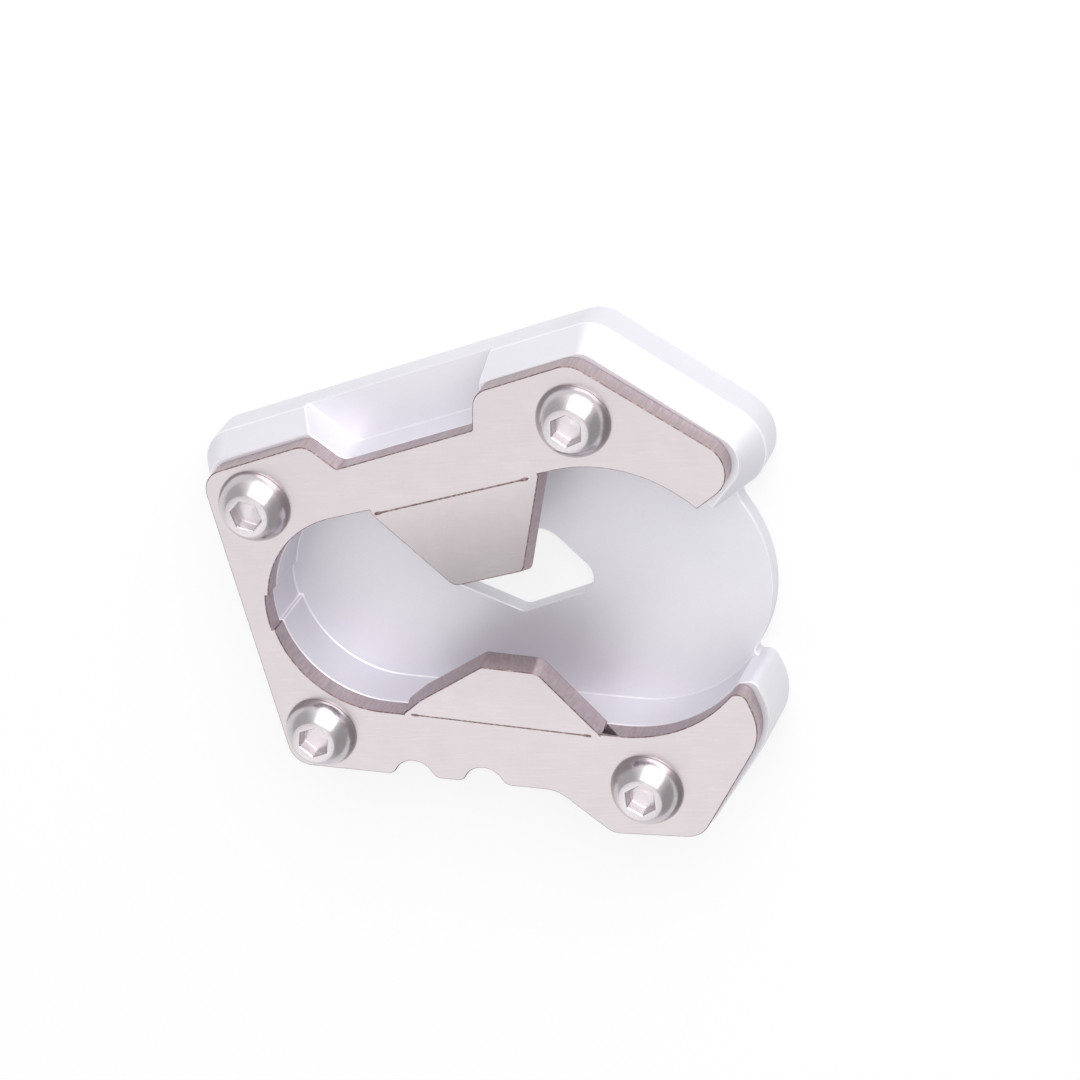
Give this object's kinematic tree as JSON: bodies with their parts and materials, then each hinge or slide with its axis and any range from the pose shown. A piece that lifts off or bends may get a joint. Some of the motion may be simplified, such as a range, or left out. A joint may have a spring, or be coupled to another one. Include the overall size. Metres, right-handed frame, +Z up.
{
  "type": "kickstand foot enlarger",
  "caption": "Wide foot plate for a motorcycle side stand: a milled aluminium base with a rounded pocket and a screwed steel clamp plate with bent tabs.",
  "frame": {"origin": "centre of the pocket's round heel, on the base's underside", "axes": "+X out of the pocket's open mouth, +Y to the left of it seen from above, +Z up from the ground"},
  "size_m": [0.0828, 0.0761, 0.0175],
  "materials": {
    "anodised_aluminium": "satin anodised",
    "stainless_sheet": "mill finish sheet with laser cut edges",
    "stainless_screw": "polished"
  },
  "bodies": {
    "root": {"base": "anodised_aluminium", "clamp_plate": "stainless_sheet", "screw_heel_left": "stainless_screw", "screw_mouth_left": "stainless_screw", "screw_heel_right": "stainless_screw", "screw_mouth_right": "stainless_screw"}
  },
  "joints": []
}
